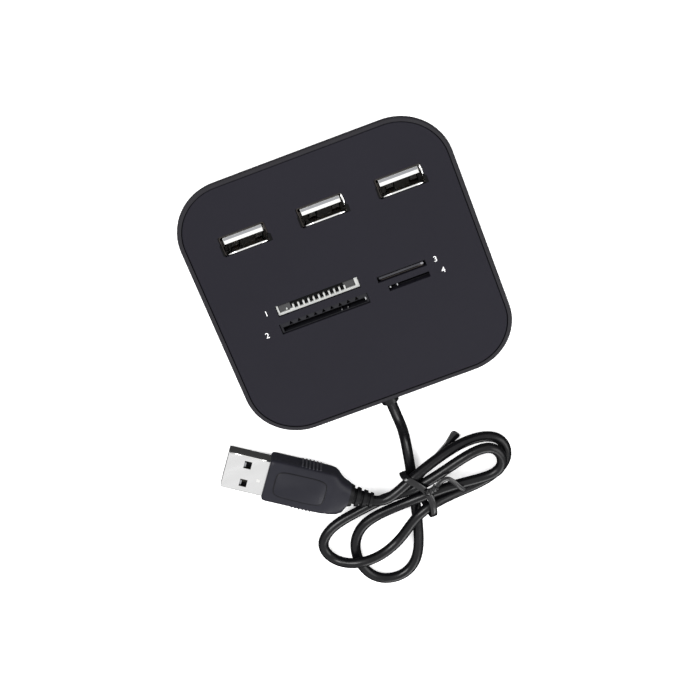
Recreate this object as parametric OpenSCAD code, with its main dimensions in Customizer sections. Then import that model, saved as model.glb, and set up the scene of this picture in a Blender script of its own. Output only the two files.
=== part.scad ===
// Square desktop hub with three upright sockets, four memory card slots and a tied cable with its plug.
// Millimetres. The origin is at the bottom centre of the case, on the surface that it stands on.
// +X runs along the row of sockets and +Y points from the cable to that row.

/* [Case] */
// Side length of the case across its rim
case_side = 78; // [76:0.5:90]
// Radius of the case's corners, seen from above
corner_r = 15.2; // [14:0.1:20]
// Height of the rim above the table
case_h = 22; // [21:0.5:30]
// Lean of the side walls from upright, in degrees
wall_lean = 25.5; // [15:0.5:27]
// Thickness of the side walls
wall = 1.8; // [1.4:0.1:2.2]
// Thickness of the floor
floor_t = 1.8; // [1.6:0.1:2.4]
// Radius of the bottom edge
edge_r = 5; // [4:0.1:5.4]
// Height of the upright band under the rim
rim_h = 1.2; // [0.8:0.1:2]
// Width of the rim around the face plate
rim_w = 1.15; // [0.9:0.05:1.4]
// Bevel on the rim's outer edge
rim_bevel = 0.3; // [0.1:0.1:0.5]

/* [Face plate] */
// Thickness of the face plate
plate_t = 2.1; // [1.6:0.1:2.8]
// Gap between the face plate and the rim
plate_gap = 0.2; // [0.1:0.05:0.3]
// Depth of the face plate's top below the rim
plate_sink = 0.15; // [0:0.05:0.4]
// Diameter of the pillars that take the screws
pillar_d = 5; // [4.6:0.1:6.4]

/* [Screws and feet] */
// Diameter of a screw's shank
screw_d = 2.5; // [2:0.1:3]
// Length of a screw under its head
screw_len = 10; // [8:0.5:12]
// Diameter of a screw's head
screw_head_d = 4.6; // [4:0.1:5]
// Height of a screw's head
screw_head_h = 1.5; // [1.2:0.1:1.8]
// Clearance around a screw's head and shank
screw_gap = 0.2; // [0.1:0.05:0.3]
// Clearance of a shank in its pillar
thread_gap = 0.05; // [0.02:0.01:0.1]
// Distance from the centre to the two rows of screws
screw_y = 22.5; // [21:0.5:23.5]
// Diameter of a rubber foot
foot_d = 9; // [7:0.5:10]
// Height of a rubber foot
foot_h = 2; // [1.6:0.1:3]
// Depth of the recess that holds a foot
foot_recess = 0.8; // [0.4:0.1:1]
// Distance from the centre to a foot, along both sides
foot_pos = 20; // [18:0.5:21]

/* [Circuit board] */
// Thickness of the circuit board
board_t = 1.6; // [1:0.1:2]
// Height of the bosses that carry the board
boss_h = 3; // [2.6:0.1:4]
// Diameter of the bosses
boss_d = 7.2; // [7:0.1:8]
// Gap between the board and the walls
board_gap = 0.3; // [0.2:0.05:0.8]

/* [Upright sockets] */
// Distance between two sockets
port_pitch = 22.4; // [21.5:0.1:22.6]
// Place of the middle socket along the row
port_x = 0.65; // [0:0.05:1]
// Place of the row, from the centre
port_y = 21.1; // [20:0.1:22]
// Width of a socket's metal shell
port_w = 13.1; // [12.9:0.1:13.3]
// Height of a socket's metal shell
port_h = 5.7; // [5.5:0.1:5.9]
// Thickness of the shell's sheet
sheet_t = 0.3; // [0.2:0.05:0.4]
// Gap between a shell and the face plate
port_gap = 0.15; // [0.1:0.05:0.3]
// Depth of the socket's mouth below the face plate
port_sink = 0.6; // [0.2:0.1:1]
// Width of the tongue
tongue_w = 11.1; // [10.8:0.1:11.3]
// Thickness of the tongue
tongue_t = 1.84; // [1.6:0.02:2]
// Length of the tongue
tongue_len = 8.6; // [7:0.1:9.5]
// Gap between the tongue and the near side of the shell
tongue_gap = 0.5; // [0.4:0.05:0.8]

/* [Wide card slots] */
// Width of the upper wide slot
upper_wide_w = 24.1; // [23:0.1:25]
// Height of the upper wide slot
upper_wide_h = 3.3; // [3.1:0.1:3.4]
// Width of the lower wide slot
lower_wide_w = 25.8; // [25:0.1:26.5]
// Height of the lower wide slot
lower_wide_h = 3.1; // [2.9:0.1:3.2]
// Place of the wide slots along X
wide_x = -9.3; // [-10:0.1:-9]
// Place of the upper wide slot along Y
upper_wide_y = -2.05; // [-2.1:0.05:-1.5]
// Place of the lower wide slot along Y
lower_wide_y = -7.4; // [-8:0.05:-7.4]
// Number of ribs in the upper wide slot's comb
comb_slots = 10; // [8:1:11]

/* [Small card slots] */
// Width of the upper small slot
upper_small_w = 14.1; // [13.5:0.1:14.5]
// Height of the upper small slot
upper_small_h = 1.8; // [1.7:0.1:2]
// Width of the lower small slot
lower_small_w = 11.9; // [11.7:0.1:12.5]
// Height of the lower small slot
lower_small_h = 1.6; // [1.5:0.1:1.8]
// Place of the upper small slot along X
upper_small_x = 14.6; // [14:0.1:15]
// Place of the upper small slot along Y
upper_small_y = -3.5; // [-3.6:0.1:-3]
// Place of the lower small slot along X
lower_small_x = 15.6; // [15:0.1:16]
// Place of the lower small slot along Y
lower_small_y = -7; // [-7.5:0.1:-6.9]

/* [Cable and plug] */
// Diameter of the cable
cord_d = 3.2; // [2.8:0.1:3.2]
// Diameter of the gland where it leaves the case
gland_d = 5.8; // [5.4:0.1:6.4]
// Diameter of the gland's tip
gland_tip_d = 5; // [4.4:0.1:5.2]
// Width of the plug's metal shell
plug_w = 12; // [11.8:0.1:12.2]
// Height of the plug's metal shell
plug_h = 4.5; // [4.3:0.1:4.7]
// Length of the plug's metal shell in front of its grip
plug_len = 12.4; // [11.5:0.1:13]
// Width of the plug's grip
grip_w = 13.8; // [13.4:0.1:15]
// Thickness of the plug's grip
grip_t = 7.4; // [6.6:0.1:7.4]
// Length of the plug's grip, up to its strain relief
grip_len = 25.4; // [24:0.2:26]
// Length of the plug's strain relief
relief_len = 7; // [6:0.5:8]

/* [Hidden] */

$fn = 48;
// Length by which a cutting solid passes the face that it cuts
cut = 1;

// Heights, from the table up
base_z = foot_h - foot_recess;
floor_top = base_z + floor_t;
board_bottom = floor_top + boss_h;
board_top = board_bottom + board_t;
plate_top = case_h - plate_sink;
plate_bottom = plate_top - plate_t;
rim_bottom = case_h - rim_h;

// Side wall: inward run for a fall, and the wall's thickness measured level
function lean_in(z) = (rim_bottom - z) * tan(wall_lean);
wall_run = wall / cos(wall_lean);
inner_edge_r = edge_r - wall;
edge_steps = 5;

// Inset and height of the points on a rounded bottom edge, outside or inside the wall
function edge_arc(r, bottom, run) = [
    for (i = [0:edge_steps])
        let (a = wall_lean + (90 - wall_lean) * i / edge_steps, cz = bottom + r)
        [lean_in(cz) + run + r / cos(wall_lean) - r * cos(a), cz - r * sin(a)]
];
outer_edge = concat(
    [[rim_bevel, case_h], [0, case_h - rim_bevel], [0, rim_bottom]],
    edge_arc(edge_r, base_z, 0)
);
inner_edge = concat(
    [[lean_in(plate_bottom) + wall_run, plate_bottom]],
    edge_arc(inner_edge_r, floor_top, wall_run)
);

// A solid on the case's rounded square: edge lists inset and height from the top down
module rounded_block(edge) {
    straight = case_side / 2 - corner_r;
    top = edge[0][1];
    bottom = edge[len(edge) - 1][1];
    half = [for (p = edge) [case_side / 2 - p[0], p[1]]];
    other = [for (i = [len(half) - 1:-1:0]) [-half[i][0], half[i][1]]];
    for (turn = [0:90:270])
        rotate(turn)
            translate([straight, straight])
                rotate_extrude(angle = 90)
                    polygon(concat([[0, top]], [for (p = edge) [corner_r - p[0], p[1]]], [[0, bottom]]));
    for (turn = [0, 90])
        rotate(turn)
            rotate([90, 0, 0])
                linear_extrude(2 * straight, center = true)
                    polygon(concat(half, other));
}

// A rectangle with rounded corners, centred
module rounded_rect(w, h, r) {
    square([w - 2 * r, h], center = true);
    square([w, h - 2 * r], center = true);
    for (x = [-1, 1], y = [-1, 1])
        translate([x * (w / 2 - r), y * (h / 2 - r)])
            circle(r, $fn = 24);
}

module rounded_bar(w, h, r, z0, z1) {
    translate([0, 0, z0])
        linear_extrude(z1 - z0)
            rounded_rect(w, h, r);
}

// A box centred along X and Y, between two heights
module bar(w, h, z0, z1) {
    translate([-w / 2, -h / 2, z0])
        cube([w, h, z1 - z0]);
}

// Sockets, screws and feet have their places on a case of this side, and keep their distance from its edge
place_side = 78;
edge_shift = (case_side - place_side) / 2;
port_step = port_pitch + edge_shift;
port_row = port_y + edge_shift;
screw_row = screw_y + edge_shift;
foot_row = foot_pos + edge_shift;

// Screws stand midway between the sockets
screw_x = [port_x - port_step / 2, port_x + port_step / 2];
head_seat = base_z + screw_head_h + 0.6;
pillar_bore = screw_d + 2 * thread_gap;
screw_hole = screw_d + 2 * screw_gap;
head_hole = screw_head_d + 2 * screw_gap;
module at_screws() {
    for (x = screw_x, y = [-screw_row, screw_row])
        translate([x, y, 0])
            children();
}

// Feet, one in each corner, anticlockwise from the front left
foot_corners = [[-1, -1], [1, -1], [1, 1], [-1, 1]];
foot_fit = 0.1;
module at_foot(i) {
    translate([foot_corners[i][0] * foot_row, foot_corners[i][1] * foot_row, 0])
        children();
}

// The gland leaves through the wall behind the slots
gland_x = -2.5;
gland_z = 11;
gland_tip_y = -44.5;
gland_seat = 2.2;
gland_fit = 0.1;
gland_flange_d = gland_d + 2.6;
gland_flange_t = 1.5;
gland_wall_d = gland_d + 3.6;
gland_face_y = -(case_side / 2 - lean_in(gland_z + gland_wall_d / 2));
gland_inner_y = -(case_side / 2 - lean_in(gland_z) - wall_run - gland_seat);
module gland_axis(y) {
    translate([gland_x, y, gland_z])
        rotate([90, 0, 0])
            children();
}

module bottom_shell() {
    color([0.15, 0.15, 0.17])
        difference() {
            union() {
                difference() {
                    rounded_block(outer_edge);
                    rounded_block(inner_edge);
                    rounded_block([[rim_w, case_h + cut], [rim_w, plate_bottom]]);
                }
                at_screws()
                    translate([0, 0, base_z + floor_t / 2])
                        cylinder(d = boss_d, h = board_bottom - base_z - floor_t / 2);
                gland_axis(gland_inner_y)
                    cylinder(d = gland_wall_d, h = gland_inner_y - gland_face_y);
            }
            at_screws() {
                translate([0, 0, base_z - cut])
                    cylinder(d = head_hole, h = head_seat - base_z + cut);
                translate([0, 0, base_z])
                    cylinder(d = screw_hole, h = case_h);
            }
            for (i = [0:3])
                at_foot(i)
                    translate([0, 0, base_z - cut])
                        cylinder(d = foot_d + 2 * foot_fit, h = foot_recess + cut);
            gland_axis(gland_inner_y + cut)
                cylinder(d = gland_d + 2 * gland_fit, h = gland_inner_y - gland_face_y + 2 * cut);
        }
}

module case_screws() {
    color([0.75, 0.76, 0.78])
        at_screws()
            difference() {
                union() {
                    translate([0, 0, head_seat - screw_head_h])
                        cylinder(d = screw_head_d, h = screw_head_h);
                    translate([0, 0, head_seat])
                        cylinder(d = screw_d, h = screw_len);
                }
                // Cross recess for a driver
                for (turn = [0, 90])
                    rotate(turn)
                        bar(screw_head_d * 0.6, 0.7, head_seat - screw_head_h - cut, head_seat - screw_head_h * 0.4);
            }
}

module rubber_foot(i) {
    color([0.08, 0.08, 0.09])
        at_foot(i)
            rotate_extrude()
                polygon([
                    [0, 0], [foot_d / 2 - 0.5, 0], [foot_d / 2, 0.5],
                    [foot_d / 2, foot_h], [0, foot_h]
                ]);
}

// Upright sockets, one for each of the nodes that are named after them
port_count = 3;
port_z = plate_top - port_sink;
port_cut_w = port_w + 2 * port_gap;
port_cut_h = port_h + 2 * port_gap;
port_inner_w = port_w - 2 * sheet_t;
port_inner_h = port_h - 2 * sheet_t;
tongue_y = port_inner_h / 2 - tongue_gap - tongue_t / 2;
tongue_face = tongue_y - tongue_t / 2;
tongue_tip = port_z - 0.4;
tongue_root = tongue_tip - tongue_len;
contact_xs = [-3.5, -1, 1, 3.5];
contact_w = 1;
contact_t = 0.35;
contact_proud = 0.1;
contact_fit = 0.05;
tail_w = 0.6;
tail_hole = 1.1;
tail_below = 0.8;
tab_w = 2.2;
tab_fit = 0.2;
module at_port(i) {
    translate([port_x + (i - (port_count - 1) / 2) * port_step, port_row, 0])
        children();
}

// Places of the windows in a shell: position along the side, turn, distance from the centre to the sheet
shell_sides = [
    [-3.4, 0, port_h / 2], [3.4, 0, port_h / 2],
    [-3.4, 180, port_h / 2], [3.4, 180, port_h / 2],
    [0, 90, port_w / 2], [0, 270, port_w / 2]
];
finger_w = 1.9;
finger_len = 5.5;
finger_bow = 0.45;
finger_foot = 0.4;
finger_bend = 1.4;
finger_tip = 0.2;
finger_slot = 0.3;
shell_r = 0.7;
shell_inner_r = 0.4;
tongue_play = 0.05;
finger_top = port_z - 2;
module at_shell_side(s) {
    rotate(s[1])
        translate([s[0], -s[2], 0])
            children();
}

module shell_finger() {
    z0 = finger_top - finger_len;
    rotate([90, 0, 90])
        linear_extrude(finger_w, center = true)
            polygon([
                [0, z0 - finger_foot], [sheet_t, z0 - finger_foot], [sheet_t, z0],
                [finger_bow + sheet_t, finger_top - finger_bend],
                [finger_bow * 0.5 + sheet_t, finger_top - finger_tip],
                [finger_bow * 0.5, finger_top - finger_tip], [finger_bow, finger_top - finger_bend], [0, z0]
            ]);
}

module port_shell(i) {
    color([0.8, 0.81, 0.83])
        at_port(i) {
            difference() {
                rounded_bar(port_w, port_h, shell_r, board_top, port_z);
                rounded_bar(port_inner_w, port_inner_h, shell_inner_r, board_top - cut, port_z + cut);
                for (s = shell_sides)
                    at_shell_side(s)
                        bar(finger_w + 2 * finger_slot, 3 * sheet_t, finger_top - finger_len, finger_top);
            }
            for (s = shell_sides)
                at_shell_side(s)
                    shell_finger();
            for (side = [-1, 1])
                translate([0, side * (port_h - sheet_t) / 2, 0])
                    bar(tab_w, sheet_t, board_bottom - tail_below, board_top + 0.5);
        }
}

module port_tongue(i) {
    color([0.85, 0.85, 0.82])
        at_port(i)
            difference() {
                union() {
                    rounded_bar(
                        port_inner_w - 2 * tongue_play, port_inner_h - 2 * tongue_play, shell_inner_r,
                        board_top, tongue_root
                    );
                    translate([0, tongue_y, 0])
                        bar(tongue_w, tongue_t, tongue_root - cut, tongue_tip);
                }
                for (x = contact_xs)
                    translate([x, tongue_face + (contact_t - contact_proud) / 2 - contact_proud / 2, 0])
                        bar(contact_w + 2 * contact_fit, contact_t, board_top - cut, tongue_tip - 0.8);
            }
}

module port_contacts(i) {
    color([0.83, 0.68, 0.35])
        at_port(i)
            for (x = contact_xs)
                translate([x, tongue_face + (contact_t - contact_proud) / 2 - contact_proud / 2, 0]) {
                    bar(contact_w, contact_t, board_top, tongue_tip - 1);
                    bar(tail_w, contact_t, board_bottom - tail_below, board_top);
                }
}

// Card sockets: housings stand on the board and end under the face plate
socket_top = plate_bottom - 0.1;
socket_wall = 1;
slot_fit = 0.2;
pin_w = 0.6;
pin_t = 0.25;

// Upper wide socket: a pale housing with a collar in the slot and a comb along its far wall
collar_top = plate_top - 0.5;
upper_collar_w = upper_wide_w - 2 * slot_fit;
upper_collar_h = upper_wide_h - 2 * slot_fit;
upper_bar_h = 0.9;
upper_left_end = 0.5;
upper_right_end = 1;
upper_floor = 2.75;
comb_pitch = 1.5;
comb_w = 1;
comb_depth = 0.55;
comb_x = 0.3;
end_recess_w = 3;
end_recess_depth = 0.25;
upper_far_y = upper_bar_h - upper_collar_h / 2;

module upper_wide_card_socket() {
    slit_w = upper_collar_w - upper_left_end - upper_right_end;
    slit_x = (upper_left_end - upper_right_end) / 2;
    slit_h = upper_collar_h - upper_bar_h;
    slit_y = upper_far_y + slit_h / 2;
    recess_x = (slit_w - end_recess_w) / 2;
    color([0.86, 0.87, 0.87])
        translate([wide_x, upper_wide_y, 0])
            difference() {
                union() {
                    bar(upper_collar_w + 1.2, upper_collar_h + 2 * socket_wall, board_top, socket_top);
                    bar(upper_collar_w, upper_collar_h, socket_top - cut, collar_top);
                }
                translate([slit_x, slit_y, 0])
                    bar(slit_w, slit_h, board_top + upper_floor, collar_top + cut);
                // The collar is open on the near side of the slit
                translate([slit_x, slit_y + slit_h / 2, 0])
                    bar(slit_w, 0.4, plate_bottom, collar_top + cut);
                for (i = [0:comb_slots - 1])
                    translate([comb_x + (i - (comb_slots - 1) / 2) * comb_pitch, upper_far_y, 0])
                        bar(comb_w, 2 * comb_depth, board_top - cut, collar_top + cut);
                for (side = [-1, 1])
                    translate([slit_x + side * recess_x, upper_far_y, 0])
                        bar(end_recess_w, 2 * end_recess_depth, collar_top - 4, collar_top + cut);
            }
}

module upper_wide_contacts() {
    color([0.83, 0.68, 0.35])
        translate([wide_x, upper_wide_y, 0])
            for (i = [0:comb_slots - 1])
                translate([comb_x + (i - (comb_slots - 1) / 2) * comb_pitch, upper_far_y - comb_depth + pin_t / 2, 0])
                    bar(pin_w, pin_t, board_top, collar_top - 5);
}

// Lower wide socket: dark housing whose collar has a row of small notches on its near side
lower_collar_w = lower_wide_w - 2 * slot_fit;
lower_collar_h = lower_wide_h - 2 * slot_fit;
lower_slit_w = 24.4;
lower_slit_h = 1.5;
lower_slit_y = lower_slit_h / 2 + 0.2 - lower_collar_h / 2;
lower_floor = 1.75;
notch_count = 9;
notch_pitch = 2.4;
notch_r = 0.75;
lower_pin_z = 4;

module at_notches() {
    for (i = [0:notch_count - 1])
        translate([(i - (notch_count - 1) / 2) * notch_pitch, lower_slit_y + lower_slit_h / 2, 0])
            children();
}

module lower_wide_card_socket() {
    color([0.16, 0.16, 0.18])
        translate([wide_x, lower_wide_y, 0])
            difference() {
                union() {
                    bar(lower_collar_w + 1.2, lower_collar_h + 2 * socket_wall, board_top, socket_top);
                    bar(lower_collar_w, lower_collar_h, socket_top - cut, collar_top);
                }
                translate([0, lower_slit_y, 0])
                    bar(lower_slit_w, lower_slit_h, board_top + lower_floor, collar_top + cut);
                at_notches()
                    translate([0, notch_r / 2 - 0.05, board_top - cut])
                        rotate(90)
                            cylinder(r = notch_r, h = case_h, $fn = 3);
            }
}

module lower_wide_contacts() {
    color([0.83, 0.68, 0.35])
        translate([wide_x, lower_wide_y, 0])
            at_notches()
                translate([0, 0.3, 0])
                    bar(pin_w, pin_t, board_top, collar_top - lower_pin_z);
}

// Small sockets: dark housings without a collar
small_floor = 2.05;
upper_small_slit_w = upper_small_w - 1.2;
upper_small_slit_h = upper_small_h - 0.4;
shield_t = 0.25;
shield_top = plate_top - 0.7;
small_pin_pitch = 1.1;
small_pin_depth = 0.35;
small_pin_count = 8;

// A housing with one slit, open pin grooves in its far wall
module small_housing(body_w, body_h, slit_w, slit_h, groove_y) {
    difference() {
        bar(body_w, body_h, board_top, socket_top);
        bar(slit_w, slit_h, board_top + small_floor, socket_top + cut);
        at_small_pins(groove_y)
            bar(pin_w + 0.1, 2 * small_pin_depth, board_top - cut, socket_top - 2.5);
    }
}

module at_small_pins(y) {
    for (i = [0:small_pin_count - 1])
        translate([(i - (small_pin_count - 1) / 2) * small_pin_pitch, y, 0])
            children();
}

module small_pins(groove_y, z_top) {
    at_small_pins(groove_y - small_pin_depth + pin_t / 2)
        bar(pin_w, pin_t, board_top, z_top);
}

module upper_small_card_socket() {
    color([0.13, 0.13, 0.14])
        translate([upper_small_x, upper_small_y, 0])
            small_housing(upper_small_w + 1, upper_small_h + 1.2, upper_small_slit_w, upper_small_slit_h,
                -upper_small_slit_h / 2);
}

module upper_small_contacts() {
    color([0.83, 0.68, 0.35])
        translate([upper_small_x, upper_small_y, 0])
            small_pins(-upper_small_slit_h / 2, socket_top - 3);
}

// Metal plate on the far wall of the upper small slot, with a small hook at its right end
module upper_small_shield() {
    shield_w = upper_small_slit_w - 0.6;
    far = -upper_small_slit_h / 2;
    color([0.72, 0.73, 0.75])
        translate([upper_small_x, upper_small_y, 0]) {
            translate([0, far + shield_t / 2, 0])
                bar(shield_w, shield_t, socket_top - 2.2, shield_top);
            translate([shield_w / 2 - 0.7, far + shield_t + 0.3, 0])
                bar(1.4, 0.6, socket_top - 1, shield_top);
            translate([0, far + shield_t / 2, 0])
                bar(2, shield_t, board_top + small_floor, socket_top - 2);
        }
}

module lower_small_card_socket() {
    color([0.1, 0.1, 0.11])
        translate([lower_small_x, lower_small_y, 0])
            small_housing(lower_small_w + 1, lower_small_h + 1.1, lower_small_w - 0.5, lower_small_h - 0.4,
                -(lower_small_h - 0.4) / 2);
}

module lower_small_contacts() {
    color([0.83, 0.68, 0.35])
        translate([lower_small_x, lower_small_y, 0])
            small_pins(-(lower_small_h - 0.4) / 2, socket_top - 3);
}

module face_plate() {
    edge = rim_w + plate_gap;
    color([0.2, 0.2, 0.23])
        difference() {
            union() {
                rounded_block([[edge + 0.15, plate_top], [edge, plate_top - 0.15], [edge, plate_bottom]]);
                at_screws()
                    translate([0, 0, board_top])
                        cylinder(d = pillar_d, h = plate_bottom + plate_t / 2 - board_top);
            }
            for (i = [0:port_count - 1])
                at_port(i)
                    rounded_bar(port_cut_w, port_cut_h, 0.5, plate_bottom - cut, plate_top + cut);
            translate([wide_x, upper_wide_y, 0])
                bar(upper_wide_w, upper_wide_h, plate_bottom - cut, plate_top + cut);
            translate([wide_x, lower_wide_y, 0])
                bar(lower_wide_w, lower_wide_h, plate_bottom - cut, plate_top + cut);
            translate([upper_small_x, upper_small_y, 0])
                bar(upper_small_w, upper_small_h, plate_bottom - cut, plate_top + cut);
            translate([lower_small_x, lower_small_y, 0])
                bar(lower_small_w, lower_small_h, plate_bottom - cut, plate_top + cut);
            at_screws()
                translate([0, 0, board_top - cut])
                    cylinder(d = pillar_bore, h = screw_len);
        }
}

// Circuit board and what is soldered on it
board_inset = lean_in(board_bottom) + wall_run + board_gap;
module main_board() {
    color([0.07, 0.3, 0.16])
        difference() {
            rounded_block([[board_inset, board_top], [board_inset, board_bottom]]);
            at_screws()
                translate([0, 0, board_bottom - cut])
                    cylinder(d = screw_hole, h = board_t + 2 * cut);
            for (i = [0:port_count - 1])
                at_port(i) {
                    for (x = contact_xs)
                        translate([x, tongue_face, board_bottom - cut])
                            cylinder(d = tail_hole, h = board_t + 2 * cut);
                    for (side = [-1, 1])
                        translate([0, side * (port_h - sheet_t) / 2, 0])
                            bar(tab_w + 2 * tab_fit, sheet_t + 2 * tab_fit, board_bottom - cut, board_top + cut);
                }
            // Notch for the gland's flange
            translate([gland_x, gland_inner_y, 0])
                bar(
                    gland_flange_d + 2 * board_gap, 2 * (gland_flange_t + board_gap),
                    board_bottom - cut, board_top + cut
                );
            // Holes for the cable's four leads
            for (x = lead_xs)
                translate([gland_x + x, lead_y, board_bottom - cut])
                    cylinder(d = lead_d + 0.2, h = board_t + 2 * cut, $fn = 24);
        }
}

// A flat chip with leads on all four sides
chip_h = 1.4;
chip_lift = 0.1;
chip_lead_pitch = 0.8;
chip_lead_len = 1;
chip_lead_out = 0.8;
chip_lead_t = 0.3;
hub_chip_side = 7;
hub_chip_y = -16.5;
reader_chip_side = 9;
reader_chip_at = [20, -16];
module chip(body) {
    leads = floor(body / chip_lead_pitch) - 1;
    color([0.09, 0.09, 0.1])
        bar(body, body, board_top + chip_lift, board_top + chip_h);
    color([0.75, 0.75, 0.77])
        for (turn = [0:90:270], i = [0:leads - 1])
            rotate(turn)
                translate([(i - (leads - 1) / 2) * chip_lead_pitch, body / 2 + chip_lead_out - chip_lead_len / 2, 0])
                    bar(chip_lead_pitch / 2, chip_lead_len, board_top, board_top + chip_lead_t);
}

module hub_chip() {
    translate([port_x, hub_chip_y, 0])
        chip(hub_chip_side);
}

module reader_chip() {
    translate([reader_chip_at[0], reader_chip_at[1], 0])
        chip(reader_chip_side);
}

crystal_l = 9;
crystal_w = 3.8;
crystal_h = 3.5;
crystal_r = 1.8;
crystal_xs = [-9, 10];
crystal_y = -13.5;
module crystals() {
    color([0.78, 0.79, 0.8])
        for (x = crystal_xs)
            translate([x, crystal_y, 0])
                rounded_bar(crystal_l, crystal_w, crystal_r, board_top, board_top + crystal_h);
}

capacitor_d = 5;
capacitor_h = 5.4;
capacitor_edge = 5.65;
capacitor_step = [6, -3];
capacitor_y = -14;
module supply_capacitors() {
    color([0.7, 0.7, 0.72])
        for (i = [0, 1])
            translate([
                board_inset - case_side / 2 + capacitor_edge + i * capacitor_step[0],
                capacitor_y + i * capacitor_step[1], board_top
            ])
                cylinder(d = capacitor_d, h = capacitor_h);
}

// The cable's gland is pushed out from the inside and stopped by its flange
lead_xs = [-2.1, -0.7, 0.7, 2.1];
lead_d = 0.9;
lead_y = gland_inner_y + gland_flange_t + 1.6;
gland_rings = 3;
module cable_gland() {
    tip = -gland_tip_y + gland_inner_y;
    neck = gland_inner_y - gland_face_y;
    ring_pitch = (tip - neck) / (gland_rings + 1);
    color([0.1, 0.1, 0.11])
        gland_axis(gland_inner_y)
            difference() {
                rotate_extrude()
                    polygon([
                        [0, -gland_flange_t], [gland_flange_d / 2, -gland_flange_t], [gland_flange_d / 2, 0],
                        [gland_d / 2, 0], [gland_d / 2, neck + 1], [gland_tip_d / 2, tip], [0, tip]
                    ]);
                for (i = [0:gland_rings - 1])
                    translate([0, 0, neck + 1.4 + i * ring_pitch])
                        difference() {
                            cylinder(d = gland_d + cut, h = 0.9);
                            cylinder(d = gland_tip_d - 0.8, h = 0.9);
                        }
            }
}

module cable_leads() {
    start = gland_inner_y + gland_flange_t;
    bend_z = gland_z - 1;
    color([0.6, 0.1, 0.1])
        for (x = lead_xs)
            translate([gland_x + x, 0, 0]) {
                translate([0, lead_y, bend_z])
                    rotate([90, 0, 0])
                        cylinder(d = lead_d, h = lead_y - start, $fn = 24);
                translate([0, lead_y, bend_z])
                    sphere(d = lead_d, $fn = 24);
                translate([0, lead_y, board_bottom - 0.5])
                    cylinder(d = lead_d, h = bend_z - board_bottom + 0.5, $fn = 24);
            }
}

// Route of the cable from the gland, twice around its tied bundle, to the plug.
// The points guide a smooth spline. Their heights lift the cable where it crosses itself.
cord_route = [
    [-2.5, -44.5, 11], [-2.5, -52, 10], [-3, -60, 1.6], [-6, -75.5, 1.6],
    [-10, -93, 1.6], [-13.5, -102.5, 1.6], [-20, -106.5, 1.6], [-28, -104.5, 1.6], [-31, -97, 1.6],
    [-30, -89.5, 1.6], [-25, -84, 1.6], [-16, -82, 3], [-6, -80, 6.2], [4, -80.2, 5.4],
    [12.5, -81.8, 4.6], [19.5, -81.8, 4.8], [22, -76.6, 5.4], [19.5, -71.4, 6], [12.5, -71.8, 6.2],
    [4, -74.5, 6], [-6, -77, 6.3], [-16, -78.5, 1.6], [-25, -80, 1.6], [-34, -81.5, 1.6],
    [-40, -86.5, 1.6], [-37.5, -93.6, 1.6], [-30.5, -94.6, 6.2], [-23, -95.4, 4.6], [-15.5, -92.5, 3.6],
    [-9.5, -86, 6], [-2.5, -83.4, 6], [6, -85, 1.6], [15, -84.6, 1.6], [23.5, -80.5, 1.6],
    [23.5, -71.5, 1.6], [14, -69, 2], [4, -70.6, 3.8], [-6, -72.9, 6.9], [-15, -77.6, 6.6],
    [-19, -75.6, 6.2]
];
cord_steps = 2;
cord_sides = 8;

// Plug: its axis runs from the end of the cable down to the tip of the metal shell
plug_turn = 145;
plug_dip = 4.2;
plug_axis = [cos(plug_turn) * cos(plug_dip), sin(plug_turn) * cos(plug_dip), -sin(plug_dip)];
module plug_frame() {
    translate(cord_route[len(cord_route) - 1])
        rotate([0, plug_dip, plug_turn])
            children();
}

function unit(v) = v / norm(v);
// Point on the spline that four route points guide, at t from 0 to 1
function spline(a, b, c, d, t) = (
    pow(1 - t, 3) * a + (3 * pow(t, 3) - 6 * pow(t, 2) + 4) * b
    + (-3 * pow(t, 3) + 3 * pow(t, 2) + 3 * t + 1) * c + pow(t, 3) * d
) / 6;
// The route with one mirrored point past each end, so that the spline starts and ends on the route
function led(p) = concat([2 * p[0] - p[1]], p, [2 * p[len(p) - 1] - p[len(p) - 2]]);
function path_points(p, steps) = let (q = led(p), last = len(q) - 4) [
    for (i = [0:last], j = [0:i == last ? steps : steps - 1])
        spline(q[i], q[i + 1], q[i + 2], q[i + 3], j / steps)
];
function path_way(p, i) = unit(p[min(i + 1, len(p) - 1)] - p[max(i - 1, 0)]);

// Sweeps an outline along a path, level with the table; the ends face along first and last
module sweep(path, outline, first, last) {
    n = len(outline);
    rings = len(path);
    points = [
        for (i = [0:rings - 1])
            let (
                way = i == 0 ? first : i == rings - 1 ? last : path_way(path, i),
                side = unit(cross(way, [0, 0, 1])),
                up = cross(side, way)
            )
            for (p = outline) path[i] + p[0] * side + p[1] * up
    ];
    walls = [
        for (i = [0:rings - 2], k = [0:n - 1])
            let (a = i * n + k, b = i * n + (k + 1) % n)
            [a, b, b + n, a + n]
    ];
    front = [for (k = [n - 1:-1:0]) k];
    back = [for (k = [0:n - 1]) (rings - 1) * n + k];
    polyhedron(points, concat([front], walls, [back]));
}

module cable_cord() {
    ring = [
        for (k = [0:cord_sides - 1])
            let (a = 360 * (k + 0.5) / cord_sides)
            [cos(a), sin(a)] * cord_d / 2
    ];
    color([0.08, 0.08, 0.09])
        sweep(path_points(cord_route, cord_steps), ring, [0, -1, 0], plug_axis);
}

// Tie: a flat band around the four strands of the bundle, with two loose ends
tie_x = -5;
tie_ys = [-84.6, -73];
tie_z = 5.9;
tie_w = 3;
tie_t = 0.5;
tie_inner = 2.2;
tie_under_end = [
    [-5.5, -76, 3.55], [-2, -74.4, 2.6], [2, -72.4, 1.2], [7, -69.6, 0.6], [10, -67.4, 0.45], [12.2, -65.6, 0.45]
];
tie_over_end = [
    [-5.5, -78, 8.3], [-2.5, -77.4, 8.6], [0.5, -78, 8.7], [3.5, -80.4, 8.3], [5.6, -82.8, 7.1], [7.2, -84.8, 5.6]
];

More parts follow.
